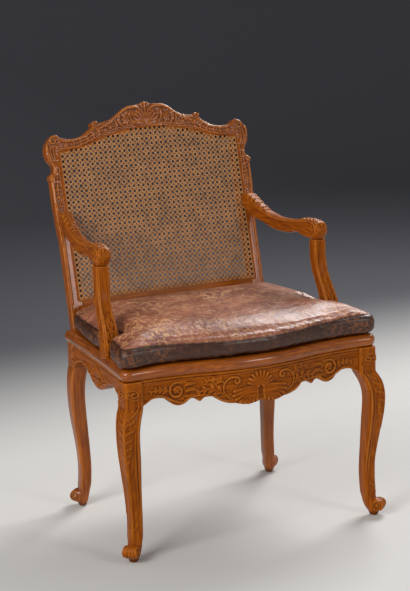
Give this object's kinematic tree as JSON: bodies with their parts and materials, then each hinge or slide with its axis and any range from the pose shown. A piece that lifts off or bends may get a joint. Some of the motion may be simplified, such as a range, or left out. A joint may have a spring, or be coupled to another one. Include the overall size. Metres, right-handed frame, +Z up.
{
  "type": "cane armchair",
  "caption": "Carved wooden armchair with cabriole legs, scrolled arms, caned back and a loose crowned leather squab.",
  "frame": {"origin": "on the floor, below the middle of the chair's box", "axes": "+X to the right of someone who looks at the chair's front, +Y towards the back, +Z up"},
  "size_m": [0.6862, 0.618, 0.957],
  "materials": {
    "wood": "waxed, satin",
    "cane": "aged, matt",
    "leather": "worn, crackled",
    "filling": "plain"
  },
  "bodies": {
    "frame": {"arm_left": "wood", "arm_right": "wood", "arm_support_left": "wood", "arm_support_right": "wood", "back_cane": "cane", "crest_rail": "wood", "front_leg_left": "wood", "front_leg_right": "wood", "front_rail": "wood", "lower_back_rail": "wood", "peg_arm_end_left": "wood", "peg_arm_end_right": "wood", "peg_arm_root_left": "wood", "peg_arm_root_right": "wood", "peg_crest_left": "wood", "peg_crest_right": "wood", "peg_front_rail_lower_left": "wood", "peg_front_rail_lower_right": "wood", "peg_front_rail_upper_left": "wood", "peg_front_rail_upper_right": "wood", "peg_lower_rail_left": "wood", "peg_lower_rail_right": "wood", "peg_rear_rail_lower_left": "wood", "peg_rear_rail_lower_right": "wood", "peg_rear_rail_upper_left": "wood", "peg_rear_rail_upper_right": "wood", "peg_seat_front_left": "wood", "peg_seat_front_right": "wood", "peg_seat_rear_left": "wood", "peg_seat_rear_right": "wood", "peg_side_rail_front_lower_left": "wood", "peg_side_rail_front_lower_right": "wood", "peg_side_rail_front_upper_left": "wood", "peg_side_rail_front_upper_right": "wood", "peg_side_rail_rear_lower_left": "wood", "peg_side_rail_rear_lower_right": "wood", "peg_side_rail_rear_upper_left": "wood", "peg_side_rail_rear_upper_right": "wood", "rear_leg_left": "wood", "rear_leg_right": "wood", "rear_rail": "wood", "seat_cane": "cane", "seat_frame_front": "wood", "seat_frame_rear": "wood", "seat_frame_side_left": "wood", "seat_frame_side_right": "wood", "side_rail_left": "wood", "side_rail_right": "wood"},
    "squab": {"squab_cover": "leather", "squab_filling": "filling"}
  },
  "joints": [
    {"name": "squab_lift", "type": "slide", "parent": "frame", "child": "squab", "axis": [0, 0.2385, 0.9711], "range_m": [0, 0.1]}
  ]
}
